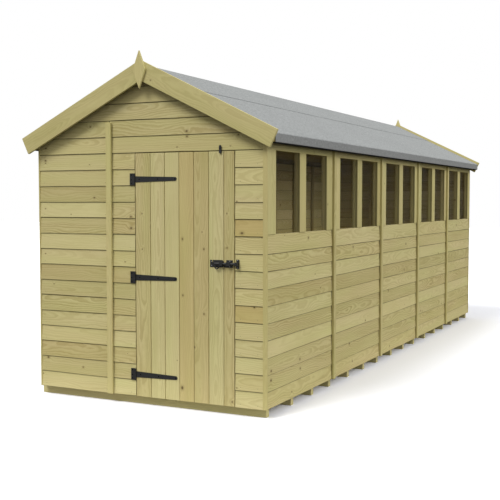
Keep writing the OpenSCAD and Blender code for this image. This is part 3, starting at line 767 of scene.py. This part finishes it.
def top_rail_shade(point):
    """Painted shade: nearly black along the lower edge of the blind side's top rail, and dark above it.
    """
    if point.z < RAIL_FOOT - RAIL_EDGE:
        return 0.0
    return 1.0 if point.z < RAIL_FOOT else RAIL_SHADE


framing = Timber("wall_framing", 31)
FRAMING = ("front_wall_studs", "front_wall_rails", "back_wall_studs", "back_wall_rails",
           "blind_side_studs", "blind_side_rails", "window_side_studs", "window_side_rails")
for node in FRAMING:
    dress(framing, node, tone=-1.3 if node == "blind_side_studs" else None,
          grime=top_rail_shade if node == "blind_side_rails" else None)
framing.finish(SAWN, "shed", "framing_timber", *FRAMING)

dressed_piece("joists", 32, SAWN, "shed", "framing_timber", ("floor_joists",),
              tone=0.5, warm=0.0, figure=0.5)
dressed_piece("roof_framing", 33, SAWN, "shed", "framing_timber",
              ("ridge_beam", "roof_rafters", "eave_fascias"), tone=-0.9)


def planks(timber, corner, along, across, depth, length, width, thickness, count, **look):
    """Boards side by side with eased edges: corner is the first board's low corner."""
    each = width / count
    gap, ease = 0.0006, 0.0018
    for i in range(count):
        a, b = i * each + gap, (i + 1) * each - gap
        section = [(a + ease, 0), (b - ease, 0), (b, ease), (b, thickness - ease),
                   (b - ease, thickness), (a + ease, thickness), (a, thickness - ease), (a, ease)]
        rings = [[corner + along * s + across * x + depth * y for x, y in section]
                 for s in (0.0, length)]
        timber.place(loft(rings), along, across, **look)


floor = Timber("floor_planks", 34)
flo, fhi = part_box("floor_boards")
planks(floor, flo, Vector((0, 1, 0)), Vector((1, 0, 0)), Vector((0, 0, 1)),
       fhi.y - flo.y, fhi.x - flo.x, fhi.z - flo.z, 18)
floor.finish(SAWN, "shed", "framing_timber", "floor_boards")

roof = Timber("roof_planks", 35)
rlo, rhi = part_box("roof_boards")
ROOF_BOARD = 0.012
ridge_top = rhi.z + CLEAR * SLOPE
for side in (-1, 1):
    down = Vector((side * math.cos(PITCH), 0, -math.sin(PITCH)))
    inward = Vector((-side * math.sin(PITCH), 0, -math.cos(PITCH)))
    run = rhi.x / math.cos(PITCH)
    corner = Vector((side * CLEAR, rlo.y, ridge_top))
    corner += down * (ROOF_BOARD * SLOPE)
    planks(roof, corner, Vector((0, 1, 0)), down, inward, rhi.y - rlo.y,
           run - ROOF_BOARD * SLOPE, ROOF_BOARD, 12, tone=-1.2)
roof.finish(SAWN, "shed", "framing_timber", "roof_boards")


# ---------------------------------------------------------------- felt
def plain_object(name, bm, material, body, slot, *nodes):
    """Makes a piece of a bmesh, with no grain of its own."""
    mesh = bpy.data.meshes.new(name)
    bm.to_mesh(mesh)
    bm.free()
    add_piece(name, mesh, material, body, nodes)


def merge(bms):
    """Several bmeshes as one; they are used up."""
    whole = bmesh.new()
    for bm in bms:
        mesh = bpy.data.meshes.new("part")
        bm.to_mesh(mesh)
        bm.free()
        whole.from_mesh(mesh)
        bpy.data.meshes.remove(mesh)
    return whole


# Lengths that a felt sheet is made of, and how uneven it lies
STEPS, UNEVEN = 60, 0.0008


def sheet_strip(profile, y0, y1, thickness, seed, lift=UNEVEN):
    """A felt sheet: an outline of (x, z) from left to right pulled along Y, thick inwards."""
    normals = []
    for i, p in enumerate(profile):
        before = profile[max(i - 1, 0)]
        after = profile[min(i + 1, len(profile) - 1)]
        d = Vector((after[0] - before[0], after[1] - before[1])).normalized()
        normals.append(Vector((d.y, -d.x)))
    rings = []
    for k in range(STEPS + 1):
        y = y0 + (y1 - y0) * k / STEPS
        top, under = [], []
        for (x, z), n in zip(profile, normals):
            wave = lift * noise.noise(Vector((x * 4.0, y * 2.3, seed)))
            top.append(Vector((x + n.x * wave, y, z + n.y * wave)))
            deep = thickness - max(wave, 0)
            under.append(Vector((x - n.x * deep, y, z - n.y * deep)))
        rings.append(top + under[::-1])
    return loft(rings)


def both_slopes(points, y0, y1, thickness, seed, lift=UNEVEN):
    """The right slope's sheet, and its mirror image on the left slope."""
    strips = []
    for side in (-1, 1):
        outline = points if side > 0 else [(-x, z) for x, z in points[::-1]]
        strips.append(sheet_strip(outline, y0, y1, thickness, seed + side, lift))
    return merge(strips)


FELT_T = 0.003
BED = 0.00005
slo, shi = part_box("roof_felt")
clo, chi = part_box("ridge_felt_cap")
elo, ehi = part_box("eave_felt_folds")
felt_top = chi.z - (FELT_T + BED) / math.cos(PITCH)
eave = ehi.x
z_eave = felt_top - eave * SLOPE
# The sheet's run down the slope: where it starts beside the ridge, and ends before the eave's bend
SHEET_START, SHEET_END, SHEET_STEPS = 0.0004, 0.010, 12
# How far below the felt's plane the bend passes into the fold down the fascia
FOLD_START = 0.006

sheet = []
for k in range(SHEET_STEPS + 1):
    x = SHEET_START + (eave - SHEET_END - SHEET_START) * k / SHEET_STEPS
    sheet.append((x, felt_top - x * SLOPE))
sheet += [(eave - 0.004, felt_top - (eave - 0.004) * SLOPE - 0.0004),
          (eave - 0.0010, z_eave - 0.0018), (eave, z_eave - FOLD_START)]
plain_object("felt_sheets", both_slopes(sheet, slo.y, shi.y, FELT_T, 3.0),
             FELT, "shed", "roofing_felt", "roof_felt")

# The folds take the felt's darker copy, painted shade on their upright faces
fold = [(eave, z_eave - FOLD_START - (z_eave - FOLD_START - elo.z) * k / 4) for k in range(5)]
plain_object("felt_folds", both_slopes(fold, elo.y, ehi.y, FELT_T, 9.0, lift=0.0012),
             FELT_FOLD_SHADED, "shed", "roofing_felt", "eave_felt_folds")

# The felt's cut edge is turned under the fascia, its dark underside made nearly black as a painted
# shadow line under the fold
TURN_DROP, TURN_IN, TURN_T, TURN_SHORT = 0.0040, 0.045, 0.0025, 0.002
turn = [(eave - 0.0012, elo.z - 0.0002), (eave - 0.0022, elo.z - TURN_DROP),
        (eave - TURN_IN, elo.z - 0.0035)]
plain_object("felt_fold_shadow_strips",
             both_slopes(turn, elo.y + TURN_SHORT, ehi.y - TURN_SHORT, TURN_T, 30.0, lift=0.0),
             FOLD_SHADOW_FELT, "shed", "roofing_felt")

# The cap is rounded over the ridge: half the crest's width, and how far its top is let down
CREST, CREST_DROP = 0.012, 0.0016
reach = chi.x
z_crest = chi.z - CREST * SLOPE - 0.0002
cap = [(-reach + reach * k / 6, chi.z - (reach - reach * k / 6) * SLOPE) for k in range(6)]
cap += [(-CREST, z_crest), (0.0, chi.z - CREST_DROP), (CREST, z_crest)]
cap += [(reach * k / 6, chi.z - reach * k / 6 * SLOPE) for k in range(1, 7)]
plain_object("felt_ridge_cap", sheet_strip(cap, clo.y, chi.y, FELT_T, 20.0),
             FELT, "shed", "roofing_felt", "ridge_felt_cap")

# ---------------------------------------------------------------- glazing
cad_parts["window_panes"].data.materials.clear()
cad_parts["window_panes"].data.materials.append(GLASS)


# ---------------------------------------------------------------- ironmongery
def softened_iron(name, node, body, width=0.0007):
    """Rebuilds a CAD node in black iron with eased edges."""
    parts = islands(node)
    for bm in parts:
        soften(bm, width, angle=40)
        bmesh.ops.dissolve_degenerate(bm, dist=0.00001, edges=bm.edges)
    plain_object(name, merge(parts), IRON, body, "black_iron", node)


softened_iron("strap_hinges", "hinge_straps", "door")
softened_iron("hinge_frame_plates", "hinge_plates", "shed")
softened_iron("bolt_plates", "bolt_case", "door")
softened_iron("bolt_keeper", "bolt_keep", "shed")
softened_iron("sliding_bolt", "bolt_rod", "door_bolt", 0.0004)
softened_iron("door_turn_button", "turn_button", "turn_button")
softened_iron("button_screw", "turn_button_pivot", "shed")

# A head's rim and crown, as shares of its height and radius
RIM, CROWN = 0.4, 0.6


def disc(centre, out, radius, height, sides=12):
    """A low domed head that stands out from a face."""
    side = out.orthogonal().normalized()
    up = out.cross(side)
    rings = []
    for r, h in ((radius, 0.0), (radius, height * RIM), (radius * CROWN, height)):
        rings.append([centre + out * h + (side * math.cos(a) + up * math.sin(a)) * r
                      for a in (2 * math.pi * i / sides for i in range(sides))])
    return loft(rings)


def heads(name, places, size, material, body, slot):
    """Heads on the front, as one piece: size is their radius and height."""
    discs = [disc(Vector(p), FRONT.out, *size) for p in places]
    plain_object(name, merge(discs), material, body, slot)


# The bolt's two plates are one below the rod: this is the part between them
LINK_CORNER = (0.6358, DOOR_FACE - 0.0028, 1.0312)
LINK_SIZE = (0.0204, 0.0026, 0.0240)
plain_object("bolt_plate_link", bar(LINK_CORNER, LINK_SIZE), IRON, "door", "black_iron")

# Radius and height of the screws' heads
HINGE_HEAD, BOLT_HEAD = (0.0046, 0.0008), (0.0036, 0.0014)
# Screws along a strap, from a point just past its hinge end
STRAP_PAST, STRAP_PLACES = 0.005, (0.040, 0.195, 0.338)
# Screws of a hinge's plate: in from its edges, and the middle one a little low
PLATE_INSET, PLATE_LOW, PLATE_T = 0.013, 0.004, 0.003
# Screws of the bolt: x and z on its plates
BOLT_SCREWS = ((0.539, 1.070), (0.542, 1.041), (0.683, 1.076), (0.683, 1.036))
KEEPER_SCREWS = ((0.744, 1.082), (0.744, 1.030))

strap_screws, plate_screws = [], []
for bm in islands("hinge_straps"):
    zs = [v.co.z for v in bm.verts]
    ys = [v.co.y for v in bm.verts if v.co.x > 0]
    middle = (min(zs) + max(zs)) / 2
    x0 = min(v.co.x for v in bm.verts) + STRAP_PAST
    for s in STRAP_PLACES:
        strap_screws.append((x0 + s, min(ys), middle))
    bm.free()
for bm in islands("hinge_plates"):
    xs, ys, zs = zip(*[v.co for v in bm.verts])
    # The node's small solids carry no screws
    if max(zs) - min(zs) > 0.05 and max(xs) - min(xs) > 0.02:
        middle = (min(zs) + max(zs)) / 2 - PLATE_LOW
        for z in (min(zs) + PLATE_INSET, middle, max(zs) - PLATE_INSET):
            plate_screws.append((min(xs) + PLATE_INSET, -HALF_L - PLATE_T, z))
    bm.free()
# Screw heads in the darker material: painted shade for heads sunk in the iron
heads("strap_screws", strap_screws, HINGE_HEAD, SCREW_SHADE, "door", "black_iron")
heads("plate_screws", plate_screws, HINGE_HEAD, SCREW_SHADE, "shed", "black_iron")


def on_front(node, places):
    """Points on the node's front face at these (x, z)."""
    whole = merge(islands(node))
    tree = BVHTree.FromBMesh(whole)
    whole.free()
    return [tree.ray_cast(Vector((x, -HALF_L - 0.1, z)), Vector((0, 1, 0)))[0] for x, z in places]


heads("bolt_screws", on_front("bolt_case", BOLT_SCREWS), BOLT_HEAD, ZINC, "door", None)
heads("keeper_screws", on_front("bolt_keep", KEEPER_SCREWS), BOLT_HEAD, ZINC, "shed", None)

# Nail heads: up from a board's lower edge, in from each end of a gable's boards, and in from each
# end of a side panel's boards, which have one at their middle too
NAIL_UP, GABLE_INSET, SIDE_INSET = 0.024, 0.040, 0.055
NAIL_BACK, NAIL_HEAD = 0.0022, (0.0021, 0.0012)
nail_lines = [(wall, rows, (s0 + GABLE_INSET, s1 - GABLE_INSET)) for wall, s0, s1, rows in (
    (FRONT, LEFT, JOINT, SPLIT_ROWS), (FRONT, JOINT, OPEN_L, DOOR_ROWS),
    (FRONT, OPEN_R, RIGHT, DOOR_ROWS), (BACK, LEFT, JOINT, SPLIT_ROWS),
    (BACK, JOINT, RIGHT, SPLIT_ROWS))]
for i in range(BAYS):
    start, end = bay_ends(i)
    places = (start + SIDE_INSET, (start + end) / 2, end - SIDE_INSET)
    nail_lines += [(BLIND, SIDE_ROWS - 1, places), (WINDOW, SILL_ROWS, places)]
nails = [disc(wall.at(s, -NAIL_BACK, FOOT + row * EXPOSURE + NAIL_UP), wall.out, *NAIL_HEAD, sides=8)
         for wall, rows, places in nail_lines for row in range(rows) for s in places]
plain_object("cladding_nails", merge(nails), STEEL, "shed", None)

# ---------------------------------------------------------------- stage, light and camera
# The floor's own colour, and the darker ones that it lights the shed with: one near the walls,
# one far from them, and the distances between which it changes
FLOOR_SEEN = (1.08, 1.09, 1.14, 1.0)
BOUNCE_NEAR, BOUNCE_FAR = (0.56, 0.56, 0.56, 1.0), (0.06, 0.06, 0.06, 1.0)
NEAR_WALLS = (0.1, 0.7)
bpy.ops.mesh.primitive_plane_add(size=80, location=(0, 0, -0.0005))
ground = bpy.context.object
ground.name = "studio_floor"
g = Graph("studio_white")
seen = g.node("ShaderNodeLightPath").outputs["Is Camera Ray"]
x, y, _ = g.split(g.node("ShaderNodeTexCoord").outputs["Object"])
out_x = g.math("SUBTRACT", g.math("ABSOLUTE", x), HALF_W)
out_y = g.math("SUBTRACT", g.math("ABSOLUTE", y), HALF_L)
near = g.ramp(g.math("MAXIMUM", out_x, out_y), *NEAR_WALLS, 1.0, 0.0)
g.set("Base Color", g.mix(seen, g.mix(near, BOUNCE_FAR, BOUNCE_NEAR), FLOOR_SEEN))
g.set("Roughness", 1.0)
g.shader.inputs["Specular IOR Level"].default_value = 0.0
ground.data.materials.append(g.material)

# Strength of the white sky as light, and as the backdrop
SKY_LIGHT, SKY_SEEN = 0.66, 1.0
world = bpy.data.worlds.new("studio")
bpy.context.scene.world = world
world.use_nodes = True
sky = world.node_tree.nodes["Background"]
sky.inputs["Color"].default_value = (1.0, 1.0, 1.0, 1.0)
backdrop = world.node_tree.nodes.new("ShaderNodeLightPath").outputs["Is Camera Ray"]
strength = world.node_tree.nodes.new("ShaderNodeMapRange")
world.node_tree.links.new(backdrop, strength.inputs["Value"])
strength.inputs["To Min"].default_value = SKY_LIGHT
strength.inputs["To Max"].default_value = SKY_SEEN
world.node_tree.links.new(strength.outputs[0], sky.inputs["Strength"])


def sun_light(name, energy, spread, direction):
    """A soft sun: its spread in degrees, and the direction in which it shines."""
    sun = bpy.data.objects.new(name, bpy.data.lights.new(name, "SUN"))
    sun.data.energy = energy
    sun.data.angle = math.radians(spread)
    sun.rotation_euler = Vector(direction).to_track_quat("-Z", "Y").to_euler()
    bpy.context.scene.collection.objects.link(sun)


sun_light("key", 2.25, 24, (0.30, 0.75, -1.0))
sun_light("fill", 1.08, 30, (-1.0, -0.05, -0.62))
sun_light("low_fill", 0.55, 35, (-1.0, 0.10, -0.12))

# Warm light from just inside the window wall, on the blind side that shows through the panes
inside = bpy.data.objects.new("inside", bpy.data.lights.new("inside", "AREA"))
inside.data.shape = "RECTANGLE"
inside.data.size = 0.8
inside.data.size_y = 2 * FRAME_Y - 0.6
inside.data.energy = 9.5
inside.data.spread = math.radians(92)
inside.data.color = (1.0, 0.90, 0.74)
inside.location = (HALF_W - 0.12, 0.0, 0.75)
inside.rotation_euler = (0.0, math.radians(80), 0.0)
inside.visible_camera = False
bpy.context.scene.collection.objects.link(inside)

# The photo's viewing angle: lens in millimetres, and how far the camera looks down and turns left
LENS, DOWN, TURN = 65.16, 3.166, 26.33
camera = bpy.data.objects.new("camera", bpy.data.cameras.new("camera"))
camera.data.sensor_width = 36.0
camera.data.lens = LENS
camera.location = (3.5578, -8.4984, 1.4955)
camera.rotation_euler = (math.radians(90 - DOWN), 0.0, math.radians(TURN))
camera.data.clip_end = 200.0
bpy.context.scene.collection.objects.link(camera)
bpy.context.scene.camera = camera
bpy.context.scene.view_settings.view_transform = "Standard"
